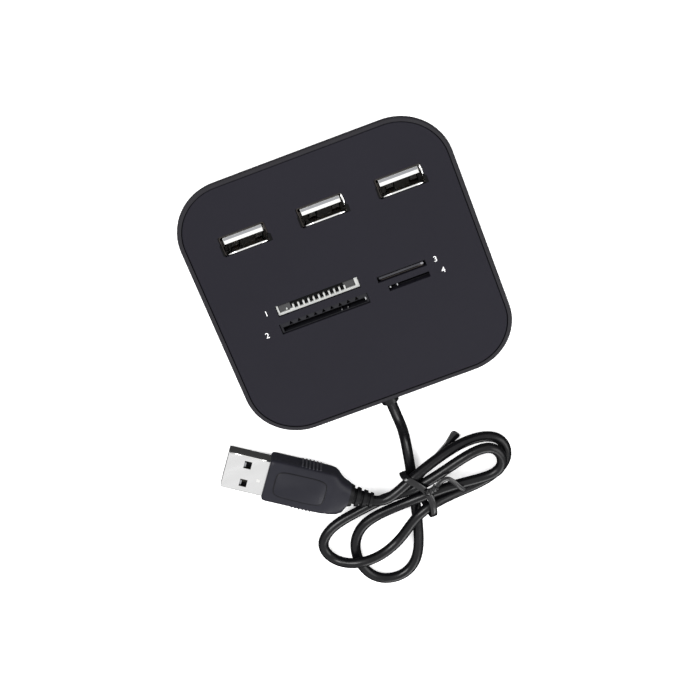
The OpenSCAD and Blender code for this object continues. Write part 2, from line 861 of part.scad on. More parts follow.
module tie_stadium(r) {
    for (y = tie_ys)
        translate([y, tie_z])
            circle(r, $fn = 32);
    translate([(tie_ys[0] + tie_ys[1]) / 2, tie_z])
        square([tie_ys[1] - tie_ys[0], 2 * r], center = true);
}

module tie_end(points) {
    path = path_points(points, 2);
    last = len(path) - 1;
    half_w = tie_w * 0.4;
    band = [[-half_w, -tie_t / 2], [half_w, -tie_t / 2], [half_w, tie_t / 2], [-half_w, tie_t / 2]];
    sweep(path, band, unit(path[1] - path[0]), unit(path[last] - path[last - 1]));
}

module cable_tie() {
    color([0.1, 0.1, 0.11]) {
        translate([tie_x, 0, 0])
            rotate([90, 0, 90])
                linear_extrude(tie_w, center = true)
                    difference() {
                        tie_stadium(tie_inner + tie_t);
                        tie_stadium(tie_inner);
                    }
        tie_end(tie_under_end);
        tie_end(tie_over_end);
    }
}

// Plug pieces lie along X in the plug's own frame, from the end of the relief at 0 to the tip
relief_start_d = 7;
relief_end_d = 4.6;
grip_front = relief_len + grip_len;
plug_tip = grip_front + plug_len;
plug_embed = 6;
grip_bevel = 0.9;
grip_neck = 6.4;
grip_ribs = 6;
grip_rib_pitch = 1.1;
plug_fit = 0.05;
plug_inner_r = 0.3;
plug_windows = [[-3, 5.2], [3, 5.2]];

// Outline of the grip from above: full width, then narrowing to the relief
module grip_outline(inset) {
    w = grip_w / 2 - inset;
    n = relief_start_d / 2 - inset;
    rear = relief_len;
    polygon([
        [rear, -n], [rear + 1.2, -n - 0.4], [rear + grip_neck, -w], [grip_front - grip_bevel, -w],
        [grip_front, grip_bevel - w], [grip_front, w - grip_bevel], [grip_front - grip_bevel, w],
        [rear + grip_neck, w], [rear + 1.2, n + 0.4], [rear, n]
    ]);
}

module plug_grip() {
    panel_len = 15;
    panel_w = 8.4;
    panel_x = grip_front - 2.8 - panel_len / 2;
    rib_start = relief_len + 10.5;
    color([0.12, 0.12, 0.14])
        plug_frame()
            difference() {
                union() {
                    translate([0, 0, -grip_t / 2 + grip_bevel])
                        linear_extrude(grip_t - 2 * grip_bevel)
                            grip_outline(0);
                    translate([0, 0, -grip_t / 2])
                        linear_extrude(grip_t)
                            grip_outline(grip_bevel);
                    rotate([0, 90, 0])
                        cylinder(d1 = relief_end_d, d2 = relief_start_d - 0.6, h = relief_len + 1);
                }
                // Socket for the rear of the metal shell
                translate([grip_front - plug_embed, 0, 0])
                    rotate([90, 0, 90])
                        linear_extrude(plug_embed + cut)
                            rounded_rect(plug_w + 2 * plug_fit, plug_h + 2 * plug_fit, 0.5);
                // Shallow panel on both broad faces
                for (side = [-1, 1])
                    translate([panel_x, 0, side * grip_t / 2])
                        linear_extrude(0.4, center = true)
                            difference() {
                                rounded_rect(panel_len, panel_w, 2.4);
                                rounded_rect(panel_len - 0.7, panel_w - 0.7, 2.1);
                            }
                // Grip ribs on both edges
                for (i = [0:grip_ribs - 1], side = [-1, 1])
                    translate([rib_start + i * grip_rib_pitch, side * grip_w / 2, 0])
                        cube([0.5, 0.7, grip_t - 2.2], center = true);
                // Rings of the strain relief
                for (x = [1, 3, 5])
                    translate([x, 0, 0])
                        rotate([0, 90, 0])
                            difference() {
                                cylinder(d = relief_start_d + cut, h = 0.8);
                                cylinder(d = relief_end_d - 0.8, h = 0.8);
                            }
            }
}

module plug_shell() {
    color([0.82, 0.83, 0.85])
        plug_frame()
            difference() {
                translate([grip_front - plug_embed, 0, 0])
                    rotate([90, 0, 90])
                        linear_extrude(plug_embed + plug_len)
                            difference() {
                                rounded_rect(plug_w, plug_h, 0.5);
                                rounded_rect(plug_w - 2 * sheet_t, plug_h - 2 * sheet_t, plug_inner_r);
                            }
                for (p = plug_windows)
                    translate([plug_tip - p[1] - 1, p[0], 0])
                        cube([2.2, 2.4, plug_h + 2 * cut], center = true);
            }
}

plug_tongue_t = 1.9;
module plug_tongue() {
    inner_w = plug_w - 2 * sheet_t;
    inner_h = plug_h - 2 * sheet_t;
    length = plug_embed + plug_len - 0.6;
    color([0.14, 0.14, 0.15])
        plug_frame()
            translate([grip_front - plug_embed, 0, 0])
                difference() {
                    rotate([90, 0, 90]) {
                        linear_extrude(plug_embed + 1)
                            rounded_rect(inner_w, inner_h, plug_inner_r);
                        linear_extrude(length)
                            intersection() {
                                rounded_rect(inner_w, inner_h, plug_inner_r);
                                translate([-inner_w / 2, -inner_h / 2])
                                    square([inner_w, plug_tongue_t]);
                            }
                    }
                    for (y = contact_xs)
                        translate([plug_embed - cut, y - contact_w / 2, plug_tongue_t - inner_h / 2 - pin_t])
                            cube([plug_len - 0.5, contact_w, pin_t + cut]);
                }
}

module plug_contacts() {
    inner_h = plug_h - 2 * sheet_t;
    color([0.83, 0.68, 0.35])
        plug_frame()
            for (y = contact_xs)
                translate([grip_front + 1, y - contact_w / 2 + contact_fit, plug_tongue_t - inner_h / 2 - pin_t])
                    cube([plug_len - 3, contact_w - 2 * contact_fit, pin_t]);
}

bottom_shell();
face_plate();
case_screws();
rubber_foot(0);  // rubber_foot_1
rubber_foot(1);  // rubber_foot_2
rubber_foot(2);  // rubber_foot_3
rubber_foot(3);  // rubber_foot_4
main_board();
hub_chip();
reader_chip();
crystals();
supply_capacitors();
port_shell(0);  // port_shell_1
port_shell(1);  // port_shell_2
port_shell(2);  // port_shell_3
port_tongue(0);  // port_tongue_1
port_tongue(1);  // port_tongue_2
port_tongue(2);  // port_tongue_3
port_contacts(0);  // port_contacts_1
port_contacts(1);  // port_contacts_2
port_contacts(2);  // port_contacts_3
upper_wide_card_socket();
upper_wide_contacts();
lower_wide_card_socket();
lower_wide_contacts();
upper_small_card_socket();
upper_small_contacts();
upper_small_shield();
lower_small_card_socket();
lower_small_contacts();
cable_gland();
cable_leads();
cable_cord();
cable_tie();
plug_grip();
plug_shell();
plug_tongue();
plug_contacts();
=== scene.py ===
"""Looks for the desktop hub: camera, finishes, cable, tie, printed numbers, moulded details, floor, light."""
import math

import bmesh
import bpy
from mathutils import Matrix, Vector


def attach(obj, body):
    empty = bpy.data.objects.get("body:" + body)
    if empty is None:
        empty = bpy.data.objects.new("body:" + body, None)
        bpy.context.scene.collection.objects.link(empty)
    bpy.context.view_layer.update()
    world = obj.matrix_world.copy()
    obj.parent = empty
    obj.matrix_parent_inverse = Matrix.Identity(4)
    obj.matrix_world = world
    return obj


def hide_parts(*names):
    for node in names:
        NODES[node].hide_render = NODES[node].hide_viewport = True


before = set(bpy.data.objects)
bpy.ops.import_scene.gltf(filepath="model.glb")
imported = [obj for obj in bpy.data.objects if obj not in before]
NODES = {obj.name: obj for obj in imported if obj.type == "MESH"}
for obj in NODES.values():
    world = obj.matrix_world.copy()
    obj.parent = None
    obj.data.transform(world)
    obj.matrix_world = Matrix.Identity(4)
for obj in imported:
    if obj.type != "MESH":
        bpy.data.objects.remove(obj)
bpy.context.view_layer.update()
MM = 0.001
UP = Vector((0, 0, 1))
scene = bpy.context.scene


def mm(*p):
    return Vector(p) * MM


# Camera: the photograph's turns about X, Y and Z, and the camera's place in the turned frame, in mm
FACE_CENTRE = Vector((0, 0, 22))
TURNS = (24.40, 3.69, 20.38)
EYE = Vector((0.776, -19.301, 545.24))
PIXELS = 700
FOCAL_PIXELS = 2000
SENSOR = 36

turned = Matrix.Identity(3)
for angle, axis in zip(TURNS, "XYZ"):
    turned = turned @ Matrix.Rotation(math.radians(angle), 3, axis)
back = turned.transposed()
camera = bpy.data.objects.new("camera", bpy.data.cameras.new("camera"))
scene.collection.objects.link(camera)
camera.data.sensor_width = SENSOR
camera.data.lens = FOCAL_PIXELS / PIXELS * SENSOR
camera.data.clip_start = 0.01
camera.data.clip_end = 20
camera.matrix_world = Matrix.Translation((back @ EYE + FACE_CENTRE) * MM) @ back.to_4x4()
scene.camera = camera

# The cable's route in mm, as in the part's source
ROUTE = [
    (-2.5, -44.5, 11), (-2.5, -52, 10), (-3, -60, 1.6), (-6, -75.5, 1.6),
    (-10, -93, 1.6), (-13.5, -102.5, 1.6), (-20, -106.5, 1.6), (-28, -104.5, 1.6), (-31, -97, 1.6),
    (-30, -89.5, 1.6), (-25, -84, 1.6), (-16, -82, 3), (-6, -80, 6.2), (4, -80.2, 5.4),
    (12.5, -81.8, 4.6), (19.5, -81.8, 4.8), (22, -76.6, 5.4), (19.5, -71.4, 6), (12.5, -71.8, 6.2),
    (4, -74.5, 6), (-6, -77, 6.3), (-16, -78.5, 1.6), (-25, -80, 1.6), (-34, -81.5, 1.6),
    (-40, -86.5, 1.6), (-37.5, -93.6, 1.6), (-30.5, -94.6, 6.2), (-23, -95.4, 4.6), (-15.5, -92.5, 3.6),
    (-9.5, -86, 6), (-2.5, -83.4, 6), (6, -85, 1.6), (15, -84.6, 1.6), (23.5, -80.5, 1.6),
    (23.5, -71.5, 1.6), (14, -69, 2), (4, -70.6, 3.8), (-6, -72.9, 6.9), (-15, -77.6, 6.6),
    (-19, -75.6, 6.2),
]
CORD_RADIUS = 1.56
CORD_STEPS = 6


def spline(a, b, c, d, t):
    """A point on the smooth curve that four guide points make, t from 0 to 1 along it."""
    return (
        (1 - t) ** 3 * a + (3 * t ** 3 - 6 * t ** 2 + 4) * b
        + (-3 * t ** 3 + 3 * t ** 2 + 3 * t + 1) * c + t ** 3 * d
    ) / 6


def path_points(points, steps):
    """Points on the smooth spline that the given ones guide, from the first to the last."""
    p = [Vector(q) for q in points]
    led = [2 * p[0] - p[1], *p, 2 * p[-1] - p[-2]]
    out = []
    for i in range(len(led) - 3):
        for j in range(steps + (i == len(led) - 4)):
            out.append(spline(*led[i:i + 4], j / steps))
    return out


def closed_path(points, steps):
    """Points on the smooth closed spline that the given ones guide."""
    p = [Vector(q) for q in points]
    out = []
    for i in range(len(p)):
        guides = [p[(i + k) % len(p)] for k in (-1, 0, 1, 2)]
        out += [spline(*guides, j / steps) for j in range(steps)]
    return out


# Finishes
RAMP = (0.3, 0.7)
LEAST_ROUGH = 0.02
COAT_ROUGH = 0.25
SCATTER = (0.001, 0.0008, 0.0006)
BUMP_DEPTH = 0.00008


def srgb(*rgb):
    """A screen colour from 0 to 255 as a linear one."""
    return tuple(c / 255 / 12.92 if c <= 10 else ((c / 255 + 0.055) / 1.055) ** 2.4 for c in rgb) + (1,)


def finish(name, colour, rough, metal=0.0, spread=0.12, patch=60, grain=4000, bump=0.05, streak=None,
           coat=0.0, rough_spread=0.08, sub=0.0, gloss=0.5):
    """A finish with uneven colour and roughness and a fine moulded, brushed or rubbery grain.

    patch and grain are noise scales per metre. streak stretches the noise for a brushed look.
    """
    m = bpy.data.materials.new(name)
    m.use_nodes = True
    nodes, link = m.node_tree.nodes, m.node_tree.links.new
    shader = nodes["Principled BSDF"]
    shader.inputs["Metallic"].default_value = metal
    shader.inputs["Specular IOR Level"].default_value = gloss
    shader.inputs["Coat Weight"].default_value = coat
    shader.inputs["Coat Roughness"].default_value = COAT_ROUGH
    if sub:
        shader.inputs["Subsurface Weight"].default_value = sub
        shader.inputs["Subsurface Radius"].default_value = SCATTER
    coords = nodes.new("ShaderNodeTexCoord")
    mapping = nodes.new("ShaderNodeMapping")
    if streak:
        mapping.inputs["Scale"].default_value = streak
    link(coords.outputs["Object"], mapping.inputs["Vector"])

    def noise(scale, detail):
        n = nodes.new("ShaderNodeTexNoise")
        n.inputs["Scale"].default_value = scale
        n.inputs["Detail"].default_value = detail
        link(mapping.outputs["Vector"], n.inputs["Vector"])
        return n.outputs["Fac"]

    tint = nodes.new("ShaderNodeValToRGB")
    for stop, place, share in zip(tint.color_ramp.elements, RAMP, (1 - spread, 1 + spread)):
        stop.position = place
        stop.color = tuple(min(1, c * share) for c in colour[:3]) + (1,)
    link(noise(patch, detail=4), tint.inputs["Fac"])
    link(tint.outputs["Color"], shader.inputs["Base Color"])
    uneven = nodes.new("ShaderNodeMapRange")
    uneven.inputs["From Min"].default_value = RAMP[0]
    uneven.inputs["From Max"].default_value = RAMP[1]
    uneven.inputs["To Min"].default_value = max(LEAST_ROUGH, rough - rough_spread)
    uneven.inputs["To Max"].default_value = min(1, rough + rough_spread)
    link(noise(patch * 4, detail=3), uneven.inputs["Value"])
    link(uneven.outputs["Result"], shader.inputs["Roughness"])
    relief = nodes.new("ShaderNodeBump")
    relief.inputs["Strength"].default_value = bump
    relief.inputs["Distance"].default_value = BUMP_DEPTH
    link(noise(grain, detail=2), relief.inputs["Height"])
    link(relief.outputs["Normal"], shader.inputs["Normal"])
    return m


CASE = finish("case_shell", srgb(30, 29, 33), 0.42, bump=0.25, grain=5200, gloss=0.2, spread=0.05,
              rough_spread=0.03)
FACE_PLASTIC = finish("case_face", srgb(24, 23, 30), 0.55, bump=0.3, grain=6000, spread=0.05, patch=25,
                      gloss=0.12, rough_spread=0.03)
# Socket steel painted dark as shade and dark reflections; the lit parts of the rims are added as bright lips
SHADED_STEEL = finish("socket_steel_painted_shade", srgb(68, 64, 62), 0.2, metal=1, spread=0.08, bump=0.08,
               streak=(1, 1, 0.08), grain=3000)
# Bright steel for painted highlights: the lit lips of the sockets and the plug shell's dimple and edge
HIGHLIGHT_STEEL = finish("painted_highlight_steel", srgb(245, 245, 243), 0.12, metal=1, spread=0.02, bump=0.04)
PLUG_STEEL = finish("plug_steel", srgb(222, 222, 222), 0.22, metal=1, spread=0.06, bump=0.1,
                    streak=(0.1, 1, 1), grain=3000)
SCREW = finish("screw_steel", srgb(150, 150, 152), 0.3, metal=1, bump=0.15)
BRASS = finish("contact_metal", srgb(206, 178, 120), 0.25, metal=1, bump=0.05)
CAN = finish("component_can", srgb(190, 191, 193), 0.35, metal=1, bump=0.1)
WHITE = finish("pale_plastic", srgb(168, 169, 167), 0.4, spread=0.04, bump=0.12, sub=0.1)
TONGUE = finish("tongue_plastic", srgb(198, 198, 196), 0.35, spread=0.04, bump=0.1)
STEP = finish("tongue_step", srgb(120, 121, 124), 0.4, spread=0.08, bump=0.1)
DARK = finish("dark_plastic", srgb(26, 26, 30), 0.4, bump=0.12, gloss=0.2)
PANEL = finish("slot_panel", srgb(52, 52, 53), 0.3, bump=0.1, gloss=0.4)
STRIP = finish("slot_strip", srgb(78, 78, 82), 0.35, metal=1, bump=0.1)
HOOK = finish("slot_hook", srgb(150, 150, 154), 0.35, metal=1, bump=0.1)
BLACK = finish("slot_black", srgb(6, 6, 7), 0.7, bump=0.15, gloss=0.1)
BOARD = finish("circuit_board", srgb(20, 74, 44), 0.35, spread=0.25, patch=900, bump=0.2, coat=0.4)
CHIP = finish("chip_body", srgb(22, 22, 24), 0.5, bump=0.3)
FOOT = finish("foot_rubber", srgb(24, 24, 25), 0.75, bump=0.4, grain=3500)
CABLE = finish("cable_rubber", srgb(11, 11, 13), 0.25, spread=0.2, bump=0.2, patch=90, grain=2500,
               gloss=0.24)
LEAD = finish("lead_insulation", srgb(150, 30, 28), 0.4, bump=0.1)
TIE = finish("tie_plastic", srgb(14, 14, 16), 0.18, bump=0.3, patch=200, grain=1500, coat=0.3, gloss=0.3)
GRIP = finish("grip_plastic", srgb(27, 27, 34), 0.45, bump=0.3, grain=3600, gloss=0.18)
RELIEF = finish("relief_rubber", srgb(9, 9, 11), 0.4, bump=0.3, grain=3600, gloss=0.18)
# Lighter copy of the grip plastic for the ribs: painted highlight
LIT_RIB = finish("grip_rib_painted_highlight", srgb(55, 55, 61), 0.5, bump=0.2, grain=3600, gloss=0.3)
PLUG_CONTACT = finish("plug_contact", srgb(96, 94, 90), 0.3, metal=1, bump=0.1)
PAINT = finish("label_paint", srgb(236, 236, 236), 0.6, spread=0.05, bump=0.1)

# The finish of every node of the frame, by the start of its name
NODE_LOOKS = {
    "bottom_shell": CASE, "face_plate": FACE_PLASTIC, "case_screws": SCREW, "rubber_foot": FOOT,
    "main_board": BOARD, "hub_chip": CHIP, "reader_chip": CHIP, "crystals": CAN, "supply_capacitors": CAN,
    "port_shell": SHADED_STEEL, "port_tongue": TONGUE, "port_contacts": BRASS,
    "upper_wide_card_socket": WHITE, "upper_wide_contacts": BRASS,
    "lower_wide_card_socket": DARK, "lower_wide_contacts": BRASS,
    "upper_small_card_socket": DARK, "upper_small_shield": SHADED_STEEL, "upper_small_contacts": BRASS,
    "lower_small_card_socket": DARK, "lower_small_contacts": BRASS,
    "cable_gland": CABLE, "cable_leads": LEAD, "cable_cord": CABLE, "cable_tie": TIE,
    "plug_grip": GRIP, "plug_shell": PLUG_STEEL, "plug_tongue": DARK, "plug_contacts": PLUG_CONTACT,
}
for name, obj in NODES.items():
    look = next(NODE_LOOKS[start] for start in NODE_LOOKS if name.startswith(start))
    if not obj.data.materials:
        obj.data.materials.append(look)
    for slot in obj.material_slots:
        slot.material = look


# Mesh helpers
def piece(name, bm, look, smooth=True):
    """Turns a bmesh in mm into a piece that rides on the body."""
    bmesh.ops.recalc_face_normals(bm, faces=bm.faces)
    mesh = bpy.data.meshes.new(name)
    bm.to_mesh(mesh)
    bm.free()
    mesh.transform(Matrix.Scale(MM, 4))
    mesh.polygons.foreach_set("use_smooth", [smooth] * len(mesh.polygons))
    mesh.materials.append(look)
    obj = bpy.data.objects.new(name, mesh)
    scene.collection.objects.link(obj)
    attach(obj, "root")
    return obj


def blocks(name, boxes, look, bevel=0.05, place=None):
    """Small moulded blocks with softened edges as one piece, each between two corners in mm."""
    bm = bmesh.new()
    for low, high in boxes:
        for v in bmesh.ops.create_cube(bm, size=1)["verts"]:
            v.co = Vector(low[k] + (v.co[k] + 0.5) * (high[k] - low[k]) for k in range(3))
    bmesh.ops.bevel(bm, geom=bm.edges[:], offset=bevel, segments=2, affect="EDGES")
    if place is not None:
        bm.transform(place)
    return piece(name, bm, look, smooth=False)


def around(centre, sizes):
    """The two corners of the box of these sizes around a centre."""
    return [tuple(c + half * s for c, s in zip(centre, sizes)) for half in (-0.5, 0.5)]


def skin(bm, rings, closed=False):
    """Joins rings of equally many points into a tube, with its ends capped unless it is closed."""
    for a, b in zip(rings, rings[1:] + rings[:1] if closed else rings[1:]):
        for k in range(len(a)):
            n = (k + 1) % len(a)
            bm.faces.new((a[k], a[n], b[n], b[k]))
    if not closed:
        bm.faces.new(rings[0][::-1])
        bm.faces.new(rings[-1])


def sweep(bm, path, outline, closed=False, widths=None, across=None):
    """Adds an outline swept along a path in mm.

    The outline's first number points level, or as nearly along across as the path lets it, and its
    second square to that. widths holds a factor on the first number for each point of the path.
    """
    path = [Vector(p) for p in path]
    rings = []
    for i, p in enumerate(path):
        ahead = path[(i + 1) % len(path)] if closed else path[min(i + 1, len(path) - 1)]
        behind = path[i - 1] if closed else path[max(i - 1, 0)]
        way = (ahead - behind).normalized()
        side = way.cross(UP) if across is None else across - way * across.dot(way)
        side.normalize()
        wide = widths[i] if widths else 1
        rings.append([bm.verts.new(p + side * a * wide + side.cross(way) * b) for a, b in outline])
    skin(bm, rings, closed)


def circle(radius, count=12, wide=1):
    """Outline of a round bar, or of an oval one that is wide times as wide as it is high."""
    turns = [math.radians(360 * k / count) for k in range(count)]
    return [(wide * radius * math.cos(a), radius * math.sin(a)) for a in turns]


# Cable
cord_path = [p * MM for p in path_points(ROUTE, CORD_STEPS)]
line = bpy.data.curves.new("cable", "CURVE")
line.dimensions = "3D"
line.bevel_depth = CORD_RADIUS * MM
line.bevel_resolution = 6
line.use_fill_caps = True
strand = line.splines.new("POLY")
strand.points.add(len(cord_path) - 1)
for point, place in zip(strand.points, cord_path):
    point.co = (*place, 1)
strand.use_smooth = True
line.materials.append(CABLE)
cable = bpy.data.objects.new("cable", line)
scene.collection.objects.link(cable)
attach(cable, "root")
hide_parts("cable_cord")

# Tie: a plastic ribbon with a wire in its middle, once round the bundle, twisted, with two loose ends
TIE_LOOP = (
    (-8.0, -71.0, 5.6), (-7.2, -71.6, 8.2), (-5.0, -74.2, 8.6), (-3.0, -77.2, 8.7), (-2.4, -80.5, 8.6),
    (-2.8, -84.0, 8.6), (-3.8, -87.4, 7.6), (-4.4, -87.6, 4.7), (-5.0, -84.3, 3.5), (-5.6, -79.5, 3.55),
    (-6.4, -74.5, 3.6), (-7.6, -70.6, 3.8),
)
TIE_UNDER = (
    (-5.5, -76, 3.55), (-2, -74.4, 2.6), (2, -72.4, 1.2), (7, -69.6, 0.7), (9.4, -67.9, 0.7),
    (11.3, -66.6, 0.7),
)
TIE_OVER = (
    (-0.4, -77.2, 9.6), (1.5, -75.9, 9.2), (4.2, -75.2, 9.0), (5.6, -77.4, 8.8), (6.6, -80.2, 8.4),
    (7.6, -82.2, 7.6),
)
TIE_W = 2
TIE_T = 0.5
LOOP_STEPS = 6
END_STEPS = 8
UNDER_GROWTH = 0.6
UNDER_TIP = (0.95, 0.8, 0.5)
OVER_WIDTH = 0.8
KNOT = ((-3.3, -77.9, 9.2), (-2.0, -77.5, 9.65), (-0.9, -77.3, 9.7), (0.2, -76.7, 9.5))
KNOT_STEPS = 10
KNOT_TURNS = 1.6
KNOT_R = 0.5
KNOT_ACROSS = Vector((0.3, -0.8, 0))
KNOT_RIBBON = (0.62, 0.22, 0.36)


def ribbon(half, thin, core):
    """Outline of the tie: a thin ribbon with rounded edges and a raised wire core."""
    upper = [(-half, 0), (-half * 0.93, thin), (-core * 1.5, thin), (-core * 0.7, core * 0.85), (0, core)]
    upper += [(-a, b) for a, b in upper[-2::-1]]
    return upper + [(a, -b) for a, b in upper[-2:0:-1]]


bm = bmesh.new()
outline = ribbon(TIE_W / 2, TIE_T * 0.26, TIE_T * 0.5)
sweep(bm, closed_path(TIE_LOOP, LOOP_STEPS), outline, closed=True, across=Vector((1, 0, 0)))
# The end that lies below the bundle is seen flat: its last third grows wider, up to a rounded tip
under = path_points(TIE_UNDER, END_STEPS)
widths = [1 + UNDER_GROWTH * max(0, 3 * i / (len(under) - 1) - 2) for i in range(len(under))]
widths[-3:] = [wide * share for wide, share in zip(widths[-3:], UNDER_TIP)]
sweep(bm, under, outline, widths=widths)
over = path_points(TIE_OVER, END_STEPS)
sweep(bm, over, outline, widths=[OVER_WIDTH] * len(over))
knot = path_points(KNOT, KNOT_STEPS)
for start in (0, math.pi):
    winding = []
    for i, p in enumerate(knot):
        turn = start + 2 * math.pi * KNOT_TURNS * i / (len(knot) - 1)
        winding.append(p + (KNOT_ACROSS * math.cos(turn) + UP * math.sin(turn)) * KNOT_R)
    sweep(bm, winding, ribbon(*KNOT_RIBBON))
tie = piece("twist_tie", bm, TIE)
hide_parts("cable_tie")

# Printed numbers beside the four card slots
PLATE_TOP = 21.85
LABELS = (("1", -24.2, -1.5), ("2", -26.3, -7.7), ("3", 24.4, -3.5), ("4", 25.4, -7.3))
LABEL_HIGH = 2.3
LABEL_HALF_THICK = 0.015
LABEL_LIFT = 0.012
for text, x, y in LABELS:
    curve = bpy.data.curves.new("label_" + text, "FONT")
    curve.body = text
    curve.size = LABEL_HIGH * MM
    curve.extrude = LABEL_HALF_THICK * MM
    curve.align_x = "CENTER"
    curve.align_y = "CENTER"
    raised = bpy.data.objects.new("label_source", curve)
    scene.collection.objects.link(raised)
    bpy.context.view_layer.update()
    mesh = bpy.data.meshes.new_from_object(raised.evaluated_get(bpy.context.evaluated_depsgraph_get()))
    bpy.data.objects.remove(raised)
    mesh.transform(Matrix.Translation(mm(x, y, PLATE_TOP + LABEL_LIFT)))
    mesh.materials.clear()
    mesh.materials.append(PAINT)
    label = bpy.data.objects.new("label_" + text, mesh)
    scene.collection.objects.link(label)
    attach(label, "root")

# Upper wide slot: a black bay with a pale bar and ribs, and dark panels at both ends, one with a pale tick
WIDE_X = -9.3
UPPER_Y = -2.05
UPPER_FAR = UPPER_Y - 0.55
COLLAR_TOP = 21.35
BAY_FLOOR = 14.5
TRIM_FLOOR = 18
COMB_X = WIDE_X + 0.3
COMB_PITCH = 1.5
COMB_SLOTS = 10
COMB_RIB_HALF = 0.24
PANELS = ((-11.3, -7.9), (7.6, 10.8))
blocks("upper_wide_bay",
       [((WIDE_X - 7.9, UPPER_FAR - 0.54, BAY_FLOOR), (WIDE_X + 7.6, UPPER_Y + 1.4, COLLAR_TOP - 0.75))],
       BLACK, 0.08)
comb_xs = [COMB_X + (i - COMB_SLOTS / 2) * COMB_PITCH for i in range(COMB_SLOTS + 1)]
blocks("upper_wide_ribs",
       [((x - COMB_RIB_HALF, UPPER_FAR - 0.3, TRIM_FLOOR),
         (x + COMB_RIB_HALF, UPPER_FAR + 1.0, COLLAR_TOP - 0.05)) for x in comb_xs],
       WHITE)
blocks("upper_wide_bar",
       [((WIDE_X - 11.4, UPPER_FAR - 0.6, TRIM_FLOOR), (WIDE_X + 10.9, UPPER_FAR - 0.3, COLLAR_TOP - 0.03))],
       WHITE)
for i, (x0, x1) in enumerate(PANELS):
    blocks(f"upper_wide_panel_{i + 1}",
           [((WIDE_X + x0, UPPER_FAR, BAY_FLOOR), (WIDE_X + x1, UPPER_Y + 1.25, COLLAR_TOP - 0.3))],
           PANEL, 0.08)
blocks("upper_wide_tick",
       [((WIDE_X - 9.4, UPPER_FAR, TRIM_FLOOR), (WIDE_X - 9.0, UPPER_FAR + 0.6, COLLAR_TOP - 0.1))],
       WHITE)

# Lower wide slot: a dark rail before the notches, a bright latch at the right end and two contact tips
LOWER_Y = -7.4
RAIL_FLOOR = 20.2
LATCH_FLOOR = 17
TIP_XS = (4.6, 6.4)
TIP_W = 0.3
blocks("lower_wide_rail",
       [((WIDE_X - 12.1, LOWER_Y + 0.22, RAIL_FLOOR), (WIDE_X + 11.7, LOWER_Y + 0.42, COLLAR_TOP + 0.02))],
       DARK, 0.06)
blocks("lower_wide_latch",
       [((WIDE_X + 11.8, LOWER_Y - 0.5, LATCH_FLOOR), (WIDE_X + 12.15, LOWER_Y + 0.35, COLLAR_TOP - 0.1))],
       CAN)
blocks("lower_wide_tips",
       [((WIDE_X + x, LOWER_Y - 1.1, TRIM_FLOOR), (WIDE_X + x + TIP_W, LOWER_Y - 0.8, COLLAR_TOP - 0.5))
        for x in TIP_XS],
       CAN)

# Small slots: a metal strip with a hook in the upper one, two card springs in the lower one
UPPER_SMALL_X = 14.6
STRIP_NEAR = -3.72
STRIP_FAR = -3.08
STRIP_FLOOR = 18.5
STRIP_TOP = 21.3
LOWER_SMALL_X = 15.6
SPRING_XS = (-5.6, -3.6)
SPRING_W = 0.35
SPRING_NEAR = -7.35
SPRING_FAR = -6.75
SPRING_FLOOR = 16.5
SPRING_TOP = 20.9
blocks("upper_small_strip",
       [((UPPER_SMALL_X - 6.5, STRIP_NEAR, STRIP_FLOOR), (UPPER_SMALL_X + 6.3, STRIP_FAR, STRIP_TOP))],
       STRIP, 0.1)
blocks("upper_small_hook",
       [((UPPER_SMALL_X + 5.5, STRIP_NEAR, STRIP_FLOOR),
         (UPPER_SMALL_X + 6.35, STRIP_FAR, STRIP_TOP + 0.15))],
       HOOK, 0.12)
blocks("lower_small_springs",
       [((LOWER_SMALL_X + x, SPRING_NEAR, SPRING_FLOOR),
         (LOWER_SMALL_X + x + SPRING_W, SPRING_FAR, SPRING_TOP)) for x in SPRING_XS],
       CAN)

# Upright sockets: a grey step on each tongue, bright lips on the shell's mouth that are painted highlights,
# and black blocks in the gaps at both ends that are painted shade
PORT_X = 0.65
PORT_PITCH = 22.4
PORT_Y = 21.1
STEP_HALF = 5.5
STEP_FLOOR = 20
STEP_TOP = 20.87
LIP_Z = 21.32
END_LIP_Z = LIP_Z + 0.1
LIP_R = 0.27
LIP_WIDE = 1.3
LONG_LIP = ((-6.1, -2.66), (-3, -2.7), (3, -2.7), (6.0, -2.66))
END_LIP = ((6.36, -0.7), (6.4, 1), (6.34, 2.6))
GAP_SHADES = ((6.3, -2.95, 7.2, -0.8), (-7.0, -2.6, -6.5, 0.6))
GAP_FLOOR = 21.2
GAP_TOP = PLATE_TOP + 0.03
for i in range(3):
    x = PORT_X + (i - 1) * PORT_PITCH
    blocks(f"port_step_{i + 1}",
           [((x - STEP_HALF, PORT_Y + 1.2, STEP_FLOOR), (x + STEP_HALF, PORT_Y + 2.04, STEP_TOP))],
           STEP, 0.04)
    # The bright lips are painted highlights, only where light catches the mouth's edge
    bm = bmesh.new()
    bar = circle(LIP_R, wide=LIP_WIDE)
    sweep(bm, [(x + a, PORT_Y + b, LIP_Z) for a, b in LONG_LIP], bar)
    # In the photograph the end of the first socket shows no bright lip
    if i:
        sweep(bm, [(x + a, PORT_Y + b, END_LIP_Z) for a, b in END_LIP], bar)
    piece(f"port_lip_highlight_{i + 1}", bm, HIGHLIGHT_STEEL)
    # Black blocks in the gaps beside the shell: painted shade
    blocks(f"port_gap_shade_{i + 1}",
           [((x + x0, PORT_Y + y0, GAP_FLOOR), (x + x1, PORT_Y + y1, GAP_TOP)) for x0, y0, x1, y1 in GAP_SHADES],
           BLACK, 0.03)

# Plug, along its own X axis from the cable's end
PLUG_TURN = 145
PLUG_DIP = 4.2
PLUG = Matrix.Translation(Vector(ROUTE[-1])) @ Matrix.Rotation(math.radians(PLUG_TURN), 4, "Z")
PLUG = PLUG @ Matrix.Rotation(math.radians(PLUG_DIP), 4, "Y")
